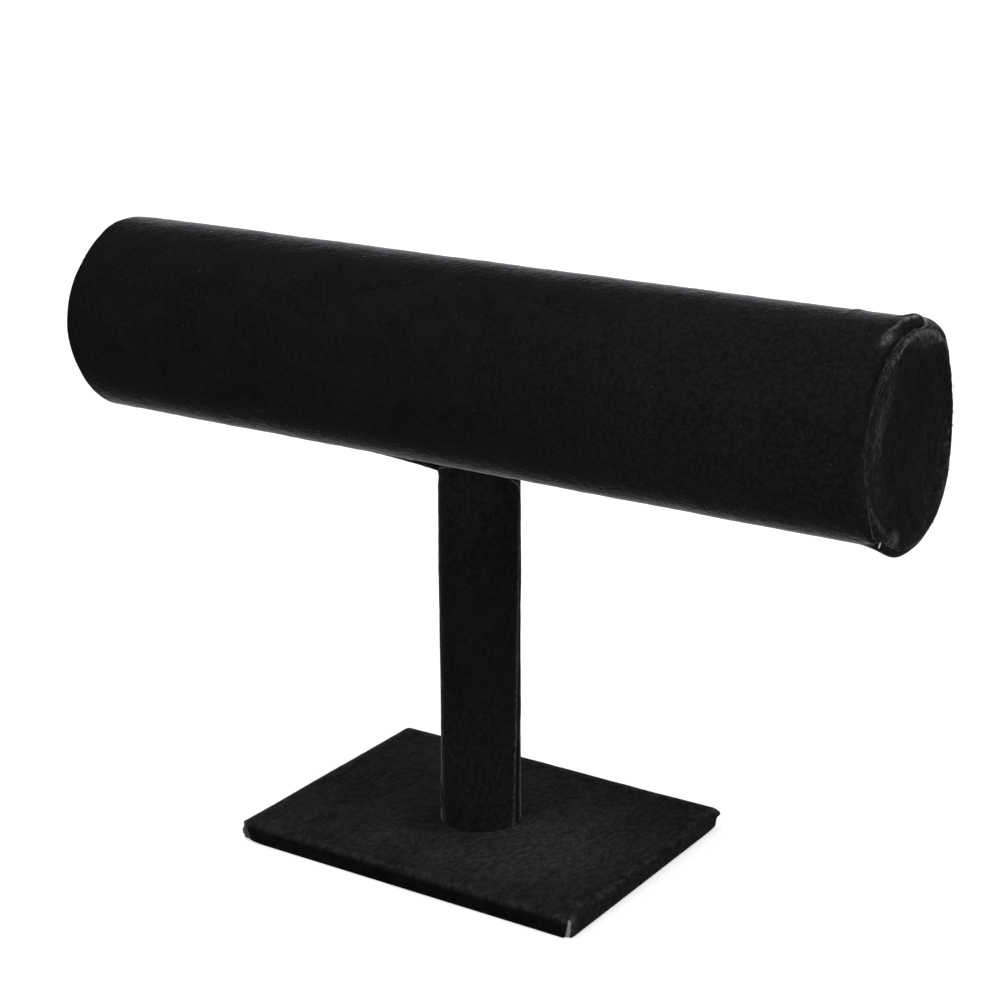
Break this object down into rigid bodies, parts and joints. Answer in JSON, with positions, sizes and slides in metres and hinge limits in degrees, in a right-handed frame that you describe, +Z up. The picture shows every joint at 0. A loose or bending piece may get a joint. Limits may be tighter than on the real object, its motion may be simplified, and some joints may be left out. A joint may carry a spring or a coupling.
{
  "type": "bracelet display stand",
  "caption": "Countertop T-shaped jewellery stand: a level velvet-covered bar on a round post and a flat rectangular base, for hanging bracelets, bangles and watches.",
  "frame": {"origin": "centre of the base's underside, where the stand rests", "axes": "+X along the bar, towards the end that is nearer in the picture; -Y towards the front; +Z up"},
  "size_m": [0.232, 0.076, 0.1535],
  "materials": {
    "velvet": "short-pile black velvet",
    "paperboard": "matt spiral-wound paperboard",
    "plastic": "matt moulded plastic",
    "screw_steel": "plated wood screw",
    "wood": "turned dowel, bare",
    "hardboard": "smooth hardboard",
    "backing": "thin pressed felt"
  },
  "bodies": {
    "root": {"bar_velvet": "velvet", "bar_end_velvet_left": "velvet", "bar_end_velvet_right": "velvet", "bar_tube": "paperboard", "bar_plug_left": "paperboard", "bar_plug_right": "paperboard", "bar_saddle": "plastic", "bar_screw": "screw_steel", "post_velvet": "velvet", "post_core": "wood", "base_velvet": "velvet", "base_board": "hardboard", "base_screw": "screw_steel", "base_backing": "backing"}
  },
  "joints": []
}
